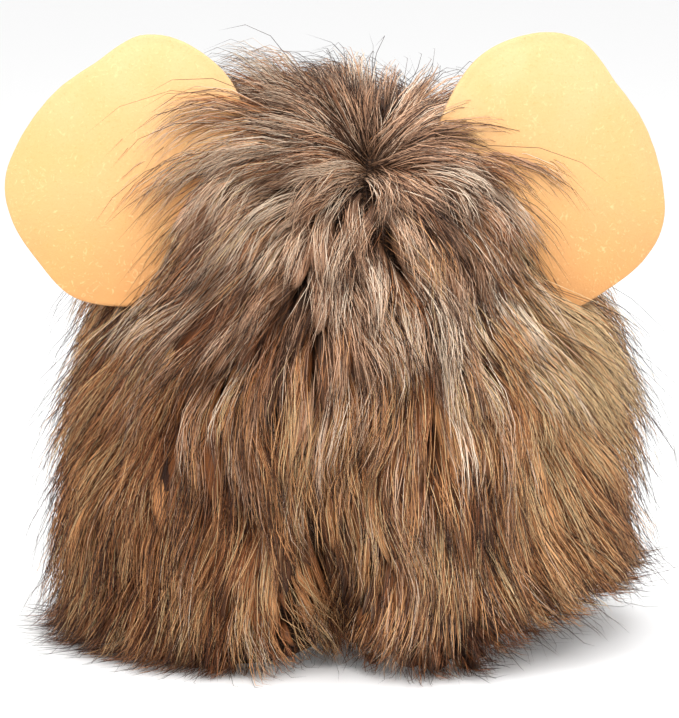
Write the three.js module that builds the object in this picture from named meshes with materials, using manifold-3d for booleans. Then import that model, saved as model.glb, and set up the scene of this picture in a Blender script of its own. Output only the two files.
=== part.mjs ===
// A lion mane wig for a dog: a hollow hood of long faux fur with two padded felt ears.
// Millimetres, +Z up. The origin is on the surface that the hem rests on, under the middle of the object.
// -Y is the back of the head, the side with the crown whorl, and +Y has the face opening.
import * as THREE from "three";
import { mergeVertices } from "three/addons/utils/BufferGeometryUtils.js";
import Module from "manifold-3d";

const wasm = await Module();
wasm.setup();

// The hood, measured inside its cloth backing
const INSIDE_HALF_WIDTH = 117;
const INSIDE_HALF_DEPTH = 96;
const INSIDE_HEIGHT = 268;
const CROWN_POWER = 3; // 2 is a half ellipsoid, and more gives squarer shoulders
const PILE_DEPTH = 13; // backing and packed underfur together
const SEWING_GAP = 0.3; // between any two pieces
const HEM_LIFT = 36; // how high the hem is drawn up at the right side
const HEM_LIFT_FROM = 66; // across, where it starts to rise

// The centre seam leans across the back, from the hem to the whorl
const WHORL_ACROSS = 14;
const WHORL_BELOW_CROWN = 23;
const HEM_SEAM_ACROSS = -8;
const WHORL_DENT = 11;
const WHORL_DENT_RADIUS = 17;
const SEAM_WIDTH = 14;
const SEAM_DEPTH = 8;
const FOLD_DEPTH = 34; // the deep fold of the back hem
const FOLD_HEIGHT = 118;
const FOLD_WIDTH = 17;
const CROWN_LOBE = 9; // the fur stands up on each side of the seam
const CROWN_LOBE_ACROSS = 42;
const CROWN_LOBE_WIDTH = 24;

// The centre seam's valley, from the hem up: share of its own height, share of its depth
const SEAM_VALLEY = [
  { height: 0.0, depth: 0.25 },
  { height: 0.45, depth: 0.3 },
  { height: 0.8, depth: 0.5 },
  { height: 1.0, depth: 1.0 },
];

// Locks of the pile, in rings from the whorl to the hem. Each lock rises to its tip over the next ring.
const LOCK_LOFT = 20; // how far the tips stand off the packed pile
const CALM_RADIUS = 60; // round the whorl, where the locks start flat
const LOCK_RINGS = 9;
const LOCKS_ROUND = 22;
const COLUMNS_PER_LOCK = 4;
const TIP_POINT = 0.12; // how far a tip runs past its lock's edges, as a share of a ring

// A lock's stations: share of its ring, and height as a share of the loft
const LOCK_STATIONS = [
  { along: 0.08, rise: 0.05 },
  { along: 0.5, rise: 0.6 },
  { along: 0.88, rise: 1.0 },
];

// The face opening and the closure under the chin
const FACE_HALF_WIDTH = 68;
const FACE_HALF_HEIGHT = 84;
const FACE_MIDDLE = 150;
const FACE_RIM_PILE = 0.4; // the pile's share of its depth at the face opening's rim
const FACE_RIM_WIDTH = 0.5; // where the pile is full again, as a share of the opening past its rim
const CHIN_SLIT = 4;
const CHIN_TAPE_WIDTH = 30;
const CHIN_TAPE_LENGTH = 74;
const CHIN_TAPE_THICKNESS = 2.4;
const CHIN_TAPE_BOTTOM = 14;
const CHIN_TAPE_INSET = 1.2; // clear of the backing's flat facets

// Ears, each two felt faces sewn round the rim over a thin pad
const EAR_REACH = 97;
const EAR_HALF_HEIGHT = 68;
const EAR_THICKNESS = 11;
const EAR_RIM = 2.6;
const EAR_BOW = 7; // the tip curls away from the back
const EAR_ROOT_ACROSS = { left: 75.5, right: 71 };
const EAR_ROOT_BACK = 28;
const EAR_ROOT_BELOW_CROWN = { left: 33, right: 23 };
const EAR_TILT = 15; // degrees, the top leaning to the face
const EAR_ROLL = { left: 0, right: -18 }; // degrees, how far the outer end droops
const EAR_YAW = { left: 4, right: 12 }; // degrees, the tip turned to the face
const EAR_SCALE = { left: 1.0, right: 1.01 };

// Ear outline: across from the root and up from its middle, as shares of reach and half height
const EAR_OUTLINE = [
  { across: 0.02, up: 1.0 },
  { across: 0.28, up: 1.08 },
  { across: 0.52, up: 0.88 },
  { across: 0.73, up: 0.67 },
  { across: 0.9, up: 0.36 },
  { across: 0.99, up: 0.03 },
  { across: 0.95, up: -0.28 },
  { across: 0.82, up: -0.57 },
  { across: 0.63, up: -0.85 },
  { across: 0.35, up: -0.93 },
  { across: 0.03, up: -0.87 },
  { across: -0.24, up: -0.55 },
  { across: -0.3, up: 0.05 },
  { across: -0.22, up: 0.66 },
];
const EAR_MIDDLE = { across: 0.34, up: 0.06 };

const PROFILE_ROWS = 400;
const INNER_COLUMNS = 44;
const INNER_ROWS = 13;
const MERGE_WITHIN = 2e-3; // vertices closer than this are one
const SIMPLIFY_WITHIN = 0.1; // slivers that the cuts leave are taken out
const BEYOND = 60; // how far a cutting solid runs past what it cuts

const clamp = THREE.MathUtils.clamp;
const smooth = THREE.MathUtils.smoothstep;
const radians = THREE.MathUtils.degToRad;
const bell = (distance, width) => Math.exp(-((distance / width) ** 2));
const vector = (x = 0, y = 0, z = 0) => new THREE.Vector3(x, y, z);

// The backing's smooth form is (x/a)^2 + (y/b)^2 + (z/h)^n = 1. Its gradient points out of it.
function hoodGradient(p) {
  const rise = Math.abs(p.z / INSIDE_HEIGHT) ** (CROWN_POWER - 1);
  return vector(
    (2 * p.x) / INSIDE_HALF_WIDTH ** 2,
    (2 * p.y) / INSIDE_HALF_DEPTH ** 2,
    (CROWN_POWER * rise) / INSIDE_HEIGHT,
  );
}

function outward(p) {
  return hoodGradient(p).normalize();
}

// A point of the smooth form: angle 0 is the middle of the back, and rise is 0 at the hem and 1 at the crown.
function hoodPoint(angle, rise) {
  const girth = girthAt(rise);
  return vector(
    INSIDE_HALF_WIDTH * girth * Math.sin(angle),
    -INSIDE_HALF_DEPTH * girth * Math.cos(angle),
    INSIDE_HEIGHT * rise,
  );
}

// The profile from crown to hem: share of its length, and rise
const PROFILE = profileTable(PROFILE_ROWS);
const WHORL_HEIGHT = INSIDE_HEIGHT - WHORL_BELOW_CROWN;
const WHORL_RISE = WHORL_HEIGHT / INSIDE_HEIGHT;
const WHORL_ANGLE = Math.asin(WHORL_ACROSS / INSIDE_HALF_WIDTH / girthAt(WHORL_RISE));
const WHORL = hoodPoint(WHORL_ANGLE, WHORL_RISE);
const WHORL_FLAT = flatPoint(WHORL_ANGLE, PROFILE.find((row) => row.rise <= WHORL_RISE).share);

function seamAcross(height) {
  return THREE.MathUtils.mapLinear(height, 0, WHORL_HEIGHT, HEM_SEAM_ACROSS, WHORL_ACROSS);
}

function seamValley(height) {
  const share = clamp(height / WHORL_HEIGHT, 0, 1);
  const above = SEAM_VALLEY.findIndex((row) => row.height >= share);
  if (above <= 0) return SEAM_VALLEY[0].depth;
  const [low, high] = [SEAM_VALLEY[above - 1], SEAM_VALLEY[above]];
  return THREE.MathUtils.mapLinear(share, low.height, high.height, low.depth, high.depth);
}

// How far the cloth is drawn in at a point of the smooth form: seam valley, hem fold and whorl.
function drawnIn(p) {
  const offSeam = p.x - seamAcross(p.z);
  const back = smooth(-p.y, -0.35 * INSIDE_HALF_DEPTH, 0.1 * INSIDE_HALF_DEPTH);
  const valley = SEAM_DEPTH * seamValley(p.z) * bell(offSeam, SEAM_WIDTH);
  const fold = FOLD_DEPTH * bell(offSeam, FOLD_WIDTH) * (1 - smooth(p.z, 0, FOLD_HEIGHT));
  const whorl = WHORL_DENT * bell(p.distanceTo(WHORL), WHORL_DENT_RADIUS);
  return back * (valley + fold) + whorl;
}

// Depth of the packed pile, which is deeper on both sides of the crown.
function pileDepth(p) {
  const offLobe = Math.abs(p.x - seamAcross(p.z)) - CROWN_LOBE_ACROSS;
  const high = smooth(p.z, 0.72 * INSIDE_HEIGHT, 0.95 * INSIDE_HEIGHT);
  return PILE_DEPTH + CROWN_LOBE * high * bell(offLobe, CROWN_LOBE_WIDTH);
}

// The point at a height over the backing's inner face, above a point of the smooth form.
function overBacking(p, height) {
  return p.clone().addScaledVector(outward(p), height - drawnIn(p));
}

// The pile's share of its depth near the face opening: least at the rim.
function rimShare(p) {
  if (p.y < 0) return 1;
  const edge = Math.hypot(p.x / FACE_HALF_WIDTH, (p.z - FACE_MIDDLE) / FACE_HALF_HEIGHT);
  return FACE_RIM_PILE + (1 - FACE_RIM_PILE) * smooth(edge, 1, 1 + FACE_RIM_WIDTH);
}

function girthAt(rise) {
  return Math.sqrt(Math.max(0, 1 - rise ** CROWN_POWER));
}

function profileTable(rows) {
  const radius = (INSIDE_HALF_WIDTH + INSIDE_HALF_DEPTH) / 2;
  const table = [];
  let before = null;
  let length = 0;
  for (let i = rows; i >= 0; i--) {
    const rise = Math.sin((i / rows) * (Math.PI / 2)) ** (2 / CROWN_POWER);
    const point = new THREE.Vector2(radius * girthAt(rise), INSIDE_HEIGHT * rise);
    if (before) length += point.distanceTo(before);
    table.push({ length, rise });
    before = point;
  }
  return table.map((row) => ({ share: row.length / length, rise: row.rise }));
}

function riseAt(share) {
  const i = PROFILE.findIndex((row) => row.share >= share);
  if (i <= 0) return 1;
  const [low, high] = [PROFILE[i - 1], PROFILE[i]];
  return THREE.MathUtils.mapLinear(share, low.share, high.share, low.rise, high.rise);
}

// The hood unrolled: the crown is the middle of a unit circle and the hem is its edge.
function flatPoint(angle, share) {
  return new THREE.Vector2(Math.sin(angle), -Math.cos(angle)).multiplyScalar(share);
}

// A point of the smooth form on the way from the whorl, share 0, to the hem, share 1. Turn 0 heads back.
function hoodAt(share, turn) {
  const heading = flatPoint(turn, 1);
  const over = WHORL_FLAT.dot(heading);
  const reach = Math.sqrt(over ** 2 + 1 - WHORL_FLAT.lengthSq()) - over;
  const flat = WHORL_FLAT.clone().addScaledVector(heading, share * reach);
  return hoodPoint(Math.atan2(flat.x, -flat.y), riseAt(Math.min(1, flat.length())));
}

function geometryOf(points, faces) {
  const geometry = new THREE.BufferGeometry();
  geometry.setAttribute(
    "position",
    new THREE.Float32BufferAttribute(points.flatMap((p) => [p.x, p.y, p.z]), 3),
  );
  geometry.setIndex(faces.flat());
  return geometry;
}

function solidOf(geometry) {
  const bare = geometry.clone();
  for (const name of Object.keys(bare.attributes)) {
    if (name !== "position") bare.deleteAttribute(name);
  }
  const merged = mergeVertices(bare, MERGE_WITHIN);
  return new wasm.Manifold(
    new wasm.Mesh({
      numProp: 3,
      vertProperties: merged.attributes.position.array,
      triVerts: new Uint32Array(merged.index.array),
    }),
  );
}

function geometryFrom(solid) {
  const made = solid.getMesh();
  const geometry = new THREE.BufferGeometry();
  geometry.setAttribute("position", new THREE.BufferAttribute(made.vertProperties, 3));
  geometry.setIndex(new THREE.BufferAttribute(made.triVerts, 1));
  return geometry;
}

// The separate bodies of a solid, largest first, without the slivers that cutting left.
function bodiesOf(solid) {
  return solid.simplify(SIMPLIFY_WITHIN).decompose().sort((a, b) => b.volume() - a.volume());
}

function meshOf(name, solid, material) {
  const geometry = geometryFrom(solid);
  geometry.computeVertexNormals();
  const mesh = new THREE.Mesh(geometry, material);
  mesh.name = name;
  return mesh;
}

// A closed solid of rings of points, closed to a middle point below the first and above the last.
function ringsSolid(rings, base, top) {
  const count = rings[0].length;
  const points = [...rings.flat(), base, top];
  const faces = [];
  for (let row = 0; row < rings.length - 1; row++) {
    for (let i = 0; i < count; i++) {
      const j = (i + 1) % count;
      const [a, b] = [row * count + i, row * count + j];
      faces.push([a, b, b + count], [a, b + count, a + count]);
    }
  }
  const last = (rings.length - 1) * count;
  for (let i = 0; i < count; i++) {
    const j = (i + 1) % count;
    faces.push([j, i, points.length - 2], [last + i, last + j, points.length - 1]);
  }
  const solid = solidOf(geometryOf(points, faces));
  if (solid.volume() > 0) return solid;
  return solidOf(geometryOf(points, faces.map(([a, b, c]) => [a, c, b])));
}

// The dome under a height over the backing's inner face, closed below, from rings of shares of the way down.
function domeSolid(ringShares, columns, heightAt, drop) {
  const rings = ringShares.map((shareAt, row) =>
    Array.from({ length: columns }, (_, column) => {
      const p = hoodAt(shareAt(column), (2 * Math.PI * column) / columns);
      return overBacking(p, heightAt(p, row, column));
    }),
  );
  rings.reverse();
  rings[0].forEach((p) => (p.z = 0));
  if (drop > 0) rings.unshift(rings[0].map((p) => vector(p.x, p.y, -drop)));
  return ringsSolid(rings, vector(0, 0, -drop), overBacking(WHORL, heightAt(WHORL, 0, 0)));
}

function innerDome() {
  const shares = Array.from({ length: INNER_ROWS }, (_, row) => () => (row + 1) / INNER_ROWS);
  return domeSolid(shares, INNER_COLUMNS, () => 0, BEYOND);
}

// 1 along the middle of a lock and -1 along its edges. The rings of locks are staggered.
function lockRidge(ring, column) {
  const turn = column / COLUMNS_PER_LOCK + ring / 2;
  return -Math.cos(2 * Math.PI * turn);
}

// The pile's outside, a gap further out if one is given.
function furDome(gap) {
  const stations = [];
  for (let ring = 0; ring < LOCK_RINGS; ring++) {
    for (const station of LOCK_STATIONS) stations.push({ ring, ...station });
  }
  stations.shift();
  const last = stations.length - 1;
  const shares = stations.map(({ ring, along }, i) => (column) => {
    if (i === last) return 1;
    const ridge = along < 0.5 ? lockRidge(ring - 1, column) : along > 0.5 ? lockRidge(ring, column) : 0;
    return (ring + along + TIP_POINT * ridge) / LOCK_RINGS;
  });
  const height = (p, row, column) => {
    const { ring, rise } = stations[row];
    const ridge = 0.72 + 0.28 * lockRidge(ring, column);
    const loft = LOCK_LOFT * rise * ridge * smooth(p.distanceTo(WHORL), 0, CALM_RADIUS);
    return gap + (pileDepth(p) + loft) * rimShare(p);
  };
  return domeSolid(shares, LOCKS_ROUND * COLUMNS_PER_LOCK, height, 0);
}

const boxSolid = (width, depth, height, x, y, z) =>
  solidOf(new THREE.BoxGeometry(width, depth, height).translate(x, y, z));

function faceCutter() {
  const outline = new THREE.Shape();
  outline.absellipse(0, 0, FACE_HALF_WIDTH, FACE_HALF_HEIGHT, 0, 2 * Math.PI);
  const depth = INSIDE_HALF_DEPTH + BEYOND;
  const geometry = new THREE.ExtrudeGeometry(outline, {
    depth, bevelEnabled: false, curveSegments: 16,
  });
  geometry.rotateX(Math.PI / 2).translate(0, depth, FACE_MIDDLE);
  return solidOf(geometry);
}

// A thin slab along the leaning centre seam. It parts the two fur panels.
function seamSlab() {
  const lean = Math.atan2(WHORL_ACROSS - HEM_SEAM_ACROSS, WHORL_HEIGHT);
  const size = 4 * INSIDE_HEIGHT;
  const geometry = new THREE.BoxGeometry(SEWING_GAP, size, size);
  geometry.rotateY(lean).translate(HEM_SEAM_ACROSS, 0, 0);
  return solidOf(geometry);
}

// What is taken off below the right side's hem: a block under a plane that slants up to the side.
function hemCutter() {
  const run = INSIDE_HALF_WIDTH + PILE_DEPTH + LOCK_LOFT - HEM_LIFT_FROM;
  const size = 4 * INSIDE_HALF_WIDTH;
  const geometry = new THREE.BoxGeometry(size, size, size).translate(size / 2, 0, -size / 2);
  geometry.rotateY(-Math.atan2(HEM_LIFT, run)).translate(HEM_LIFT_FROM, 0, 0);
  return solidOf(geometry);
}

// The ear's outline in its own plane, as points to draw through.
function earOutline(samples) {
  const curve = new THREE.CatmullRomCurve3(
    EAR_OUTLINE.map((row) => vector(EAR_REACH * row.across, 0, EAR_HALF_HEIGHT * row.up)),
    true,
    "centripetal",
  );
  return curve.getSpacedPoints(samples).slice(0, samples);
}

// One felt face of an ear with its half of the pad. Side is -1 towards the back and 1 towards the face.
function earHalf(side) {
  const rim = earOutline(34);
  const middle = vector(EAR_REACH * EAR_MIDDLE.across, 0, EAR_HALF_HEIGHT * EAR_MIDDLE.up);
  const shares = [1, 0.9, 0.62, 0.3];
  const full = EAR_THICKNESS / 2;
  const thin = EAR_RIM / 2;
  const bow = (p) => EAR_BOW * Math.max(0, p.x / EAR_REACH) ** 2;
  const raised = (share) => thin + (full - thin) * Math.sqrt(1 - share ** 3);
  const at = (p, share, y) => {
    const out = p.clone().lerp(middle, 1 - share);
    out.y = bow(out) + side * y;
    return out;
  };
  const seam = SEWING_GAP / 2;
  const rings = [rim.map((p) => at(p, 1, seam))];
  shares.forEach((share) => rings.push(rim.map((p) => at(p, share, raised(share)))));
  if (side < 0) rings.forEach((ring) => ring.reverse());
  return ringsSolid(rings, at(middle, 1, seam), at(middle, 1, raised(0)));
}

function earPlace(which) {
  const sign = which === "left" ? -1 : 1;
  const scale = EAR_SCALE[which];
  const roll = new THREE.Matrix4().makeRotationY(-radians(EAR_ROLL[which]));
  const yaw = new THREE.Matrix4().makeRotationZ(radians(EAR_YAW[which]));
  const tilt = new THREE.Matrix4().makeRotationX(-radians(EAR_TILT));
  const mirror = new THREE.Matrix4().makeScale(sign * scale, scale, scale);
  const move = new THREE.Matrix4().makeTranslation(
    sign * EAR_ROOT_ACROSS[which], -EAR_ROOT_BACK, INSIDE_HEIGHT - EAR_ROOT_BELOW_CROWN[which],
  );
  return move.multiply(tilt).multiply(mirror).multiply(yaw).multiply(roll);
}

// The hook-and-loop tape behind the chin slit: a curved strip just inside the backing.
function chinTape() {
  const columns = 14;
  const ends = CHIN_TAPE_LENGTH / 2 / INSIDE_HALF_WIDTH;
  const heights = [CHIN_TAPE_BOTTOM, CHIN_TAPE_BOTTOM + CHIN_TAPE_WIDTH];
  const rings = Array.from({ length: columns + 1 }, (_, i) => {
    const angle = Math.PI + THREE.MathUtils.lerp(-ends, ends, i / columns);
    const at = (height, inset) => {
      const p = hoodPoint(angle, height / INSIDE_HEIGHT);
      return overBacking(p, -inset).setZ(height);
    };
    const [outer, inner] = [CHIN_TAPE_INSET, CHIN_TAPE_INSET + CHIN_TAPE_THICKNESS];
    return [
      at(heights[0], outer), at(heights[0], inner), at(heights[1], inner), at(heights[1], outer),
    ];
  });
  const points = rings.flat();
  const faces = [[0, 2, 1], [0, 3, 2]];
  for (let row = 0; row < columns; row++) {
    for (let i = 0; i < 4; i++) {
      const [a, b] = [4 * row + i, 4 * row + ((i + 1) % 4)];
      faces.push([a, b, b + 4], [a, b + 4, a + 4]);
    }
  }
  const last = 4 * columns;
  faces.push([last, last + 1, last + 2], [last, last + 2, last + 3]);
  return solidOf(geometryOf(points, faces));
}

const furMaterial = new THREE.MeshStandardMaterial({ color: 0x8a6142, roughness: 0.75 });
const feltMaterial = new THREE.MeshStandardMaterial({ color: 0xf4bd76, roughness: 0.95 });
const tapeMaterial = new THREE.MeshStandardMaterial({ color: 0x2c211b, roughness: 0.8 });

function furPanels() {
  const slit = boxSolid(
    CHIN_SLIT, 2 * BEYOND, FACE_MIDDLE, 0, INSIDE_HALF_DEPTH, FACE_MIDDLE / 2,
  );
  const whole = furDome(0)
    .subtract(innerDome())
    .subtract(faceCutter())
    .subtract(wasm.Manifold.union([slit, seamSlab(), hemCutter()]));
  return bodiesOf(whole).slice(0, 2);
}

const mane = new THREE.Group();
mane.name = "pet_lion_mane_wig";
const seat = furDome(2 * SEWING_GAP);
for (const which of ["left", "right"]) {
  const place = earPlace(which);
  for (const [face, side] of [["back", -1], ["face", 1]]) {
    const half = earHalf(side).transform(place.elements).subtract(seat);
    mane.add(meshOf(`ear_${which}_${face}`, bodiesOf(half)[0], feltMaterial));
  }
}
const panels = furPanels();
panels.sort((a, b) => a.boundingBox().min[0] - b.boundingBox().min[0]);
mane.add(meshOf("fur_panel_left", panels[0], furMaterial));
mane.add(meshOf("fur_panel_right", panels[1], furMaterial));
mane.add(meshOf("chin_tape", chinTape(), tapeMaterial));
const middle = new THREE.Box3().setFromObject(mane).getCenter(vector());
mane.position.set(-middle.x, -middle.y, 0);

export default mane;
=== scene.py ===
"""A lion mane wig for a dog: a hollow hood of long faux fur with two padded felt ears, seen from its back."""

import math

import bpy
import numpy as np
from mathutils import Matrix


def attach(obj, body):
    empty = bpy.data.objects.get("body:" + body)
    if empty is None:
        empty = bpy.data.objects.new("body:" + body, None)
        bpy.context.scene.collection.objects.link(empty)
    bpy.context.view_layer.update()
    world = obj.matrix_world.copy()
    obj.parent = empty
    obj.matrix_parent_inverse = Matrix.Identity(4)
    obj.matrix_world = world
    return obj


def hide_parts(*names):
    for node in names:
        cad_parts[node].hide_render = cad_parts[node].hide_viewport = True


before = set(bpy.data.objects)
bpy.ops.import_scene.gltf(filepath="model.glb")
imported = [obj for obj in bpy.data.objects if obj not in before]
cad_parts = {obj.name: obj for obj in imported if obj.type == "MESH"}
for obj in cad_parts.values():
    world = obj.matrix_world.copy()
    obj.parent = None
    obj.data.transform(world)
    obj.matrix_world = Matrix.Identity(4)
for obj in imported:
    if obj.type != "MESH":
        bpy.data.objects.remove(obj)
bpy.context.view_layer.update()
rng = np.random.default_rng(7)

# Sizes, in metres. The hood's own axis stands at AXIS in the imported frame.
AXIS = np.array([0.00478, -0.00173, 0.0])
HALF = np.array([0.117, 0.096])  # inside the backing, half width and half depth
HEIGHT = 0.268
POWER = 3
WHORL_X, WHORL_Z = 0.014, 0.250
HEM_SEAM_X = -0.008
SEAM_WIDTH, SEAM_DEPTH = 0.014, 0.008
FOLD_DEPTH, FOLD_HEIGHT, FOLD_WIDTH = 0.034, 0.118, 0.017
WHORL_DENT, WHORL_DENT_RADIUS = 0.006, 0.017
FACE_HALF = np.array([0.068, 0.084])
FACE_Z = 0.150
CHIN_SLIT = 0.004
HEM_LIFT, HEM_LIFT_FROM, HEM_LIFT_TO, HEM_LIFT_POWER = 0.041, 0.056, 0.150, 0.6
HEM_ARCH, HEM_ARCH_X, HEM_ARCH_WIDTH = 0.010, 0.004, 0.042
BACKING_INNER, BACKING_OUTER = 0.0004, 0.0025  # the backing's faces, off the hood's form

PILE = 0.036  # how far the top of the pile stands off the backing
FUR_LENGTH = 0.068
PROUD = np.array([0.168, 0.134])  # across and in depth, where the last hairs start to bend back
GIVE = 0.006  # how far past PROUD they reach at most
RISE_POWER = 1.75  # how early along its length a hair reaches its height
CLUMP_SPACING = 0.0098
CLUMP_JITTER = 0.42  # as a share of the spacing
CLUMP_WAVE, CLUMP_SWING = 0.0042, 0.0052  # sideways, by itself and together with its neighbours
TUFT, TUFT_RADIUS, TUFT_TURN = 46, 0.019, 2.4  # clumps at the whorl, and the angle from each to the next
RIM_ROOTS, RIM_ROWS = 64, (1.02, 1.075)  # clumps in a row round the face opening, and the rows' face_edge

# How strongly the fur's run turns from the way that leads straight off the whorl
TURN_DOWN, TURN_DOWN_BY_EARS = 0.72, 1.3
TURN_FROM_LEFT, TURN_FROM_RIGHT = 1.25, -0.25  # into the hem's fold
TURN_OFF_FACE = 1.8
TURN_WAVES = 0.26

STRANDS = 39800
STATIONS = 5
FRONT_DENSITY, WHORL_DENSITY, RIM_DENSITY = 0.62, 1.3, 2.3  # hairs of a clump, beside the back's 1
GUARD_SHARE, FREE_SHARE = 0.13, 0.24
HAIR_RADIUS, GUARD_RADIUS = 0.00019, 0.00015
HAIR_LIFT = 0.0008  # the root's height off the backing
GUARD_STRETCH, GUARD_TALL, GUARD_DROOP = 1.18, 1.27, 1.9  # times those of other hairs
GUARD_DRIFT, FREE_DRIFT, DRIFT = 0.0068, 0.0036, 0.0022  # how far a tip strays
CURL = 0.0012
PALE_SHARE, PALE_STEP = 0.12, 0.34
DARK_SHARE, DARK_STEP = 0.22, 0.38

LOCK_FACE_EDGE, LOCK_WHORL_GAP = 1.16, 0.024  # no lock starts nearer the rim or the whorl
LOCK_LIFT, LOCK_LIFT_SUNK, SUNK = 0.0045, 0.006, 0.008  # more lift where the backing is drawn in by SUNK
LOCK_TALL, LOCK_TALL_AT_WHORL = 0.30, 0.18  # as shares of the pile's height
LOCK_WIDTH = 0.68 * CLUMP_SPACING
# painted shade: the locks under the hairs are darker than their clumps by this much tone
LOCK_PAINTED_SHADE = 0.38

VIEW_Z = 0.14  # the height that the camera and the lamps face
NO_TRIS = np.zeros((0, 3), int)
# Round the hood from the middle of the back, by the right side, the face and the left side
SECTORS = ("fur_back_right", "fur_side_right", "fur_front_right", "fur_front_left", "fur_side_left",
           "fur_back_left")


def smooth(x, low, high):
    """Smoothstep of x between low and high."""
    t = np.clip((x - low) / (high - low), 0, 1)
    return t * t * (3 - 2 * t)


def bell(x, width):
    """exp(-(x / width)^2)."""
    return np.exp(-((x / width) ** 2))


def unit(v):
    """Vectors divided by their lengths."""
    return v / np.maximum(np.linalg.norm(v, axis=-1, keepdims=True), 1e-12)


# The hood's smooth form is (x/a)^2 + (y/b)^2 + (z/h)^3 = 1
def girth(rise):
    """The horizontal half axes' share at a rise: sqrt(1 - rise^3)."""
    return np.sqrt(np.maximum(0, 1 - rise**POWER))


def hood(angle, rise):
    """The point (a g sin angle, -b g cos angle, h rise), where g is the girth at that rise."""
    g = girth(rise)
    return np.stack([HALF[0] * g * np.sin(angle), -HALF[1] * g * np.cos(angle), HEIGHT * rise], -1)


def gradient(p):
    """The gradient of (x/a)^2 + (y/b)^2 + (z/h)^3 at p."""
    return np.stack([2 * p[..., 0] / HALF[0] ** 2, 2 * p[..., 1] / HALF[1] ** 2,
                     POWER * np.abs(p[..., 2] / HEIGHT) ** (POWER - 1) / HEIGHT], -1)


def onto_hood(p):
    """Newton steps along the gradient, which bring nearby points onto the smooth form."""
    for _ in range(4):
        past = ((p[..., 0] / HALF[0]) ** 2 + (p[..., 1] / HALF[1]) ** 2
                + np.sign(p[..., 2]) * np.abs(p[..., 2] / HEIGHT) ** POWER - 1)
        slope = gradient(p)
        p = p - slope * (past / (slope**2).sum(-1))[..., None]
    return p


def outward(p):
    """The unit gradient."""
    return unit(gradient(p))


WHORL_ANGLE = math.asin(WHORL_X / HALF[0] / float(girth(WHORL_Z / HEIGHT)))
WHORL = hood(np.array(WHORL_ANGLE), np.array(WHORL_Z / HEIGHT))


def seam_x(z):
    """The seam's place across: a straight line from the hem to the whorl."""
    return HEM_SEAM_X + (WHORL_X - HEM_SEAM_X) * z / WHORL_Z


def drawn_in(p):
    """How far the backing is drawn in: a bell across the seam for the valley, one for the hem's fold, and
    one round the whorl."""
    off = p[..., 0] - seam_x(p[..., 2])
    back = smooth(-p[..., 1], -0.35 * HALF[1], 0.1 * HALF[1])
    depth = np.interp(p[..., 2] / WHORL_Z, [0, 0.45, 0.8, 1], [0.25, 0.3, 0.5, 1])
    valley = SEAM_DEPTH * depth * bell(off, SEAM_WIDTH)
    fold = FOLD_DEPTH * bell(off, FOLD_WIDTH) * (1 - smooth(p[..., 2], 0, FOLD_HEIGHT))
    whorl = WHORL_DENT * bell(np.linalg.norm(p - WHORL, axis=-1), WHORL_DENT_RADIUS)
    return back * (valley + fold) + whorl


def hem_z(p):
    """The hem's height: HEM_LIFT times a power of the share of the way out on the right side, and a low arch
    in the middle of the back."""
    x, y = p[..., 0], p[..., 1]
    side = np.clip((x - HEM_LIFT_FROM) / (HEM_LIFT_TO - HEM_LIFT_FROM), 0, None)
    arch = HEM_ARCH * bell(x - HEM_ARCH_X, HEM_ARCH_WIDTH) * smooth(-y, 0.02, 0.06)
    return HEM_LIFT * side**HEM_LIFT_POWER + arch


def face_edge(p):
    """1 on the face opening's rim, less inside it, for points of the front half; large on the back half."""
    edge = np.hypot(p[..., 0] / FACE_HALF[0], (p[..., 2] - FACE_Z) / FACE_HALF[1])
    return np.where(p[..., 1] > 0, edge, 9.0)


def mesh_piece(name, points, quads, tris, quad_uv=None, tri_uv=None, smooth_faces=True):
    """A mesh object at the origin from arrays of points and of corner numbers, with an optional UV map."""
    me = bpy.data.meshes.new(name)
    corners = np.concatenate([quads.ravel(), tris.ravel()]).astype(np.int32)
    sizes = np.concatenate([np.full(len(quads), 4), np.full(len(tris), 3)]).astype(np.int32)
    me.vertices.add(len(points))
    me.vertices.foreach_set("co", np.ascontiguousarray(points + AXIS, dtype=np.float32).ravel())
    me.loops.add(len(corners))
    me.loops.foreach_set("vertex_index", corners)
    me.polygons.add(len(sizes))
    me.polygons.foreach_set("loop_start", np.concatenate([[0], np.cumsum(sizes)[:-1]]).astype(np.int32))
    me.polygons.foreach_set("use_smooth", np.full(len(sizes), smooth_faces))
    if quad_uv is not None:
        layer = me.uv_layers.new(name="OFBake")
        uv = np.concatenate([quad_uv.reshape(-1, 2), tri_uv.reshape(-1, 2)]).astype(np.float32)
        layer.uv.foreach_set("vector", uv.ravel())
    me.update(calc_edges=True)
    me.validate()
    ob = bpy.data.objects.new(name, me)
    bpy.context.scene.collection.objects.link(ob)
    return ob


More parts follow.
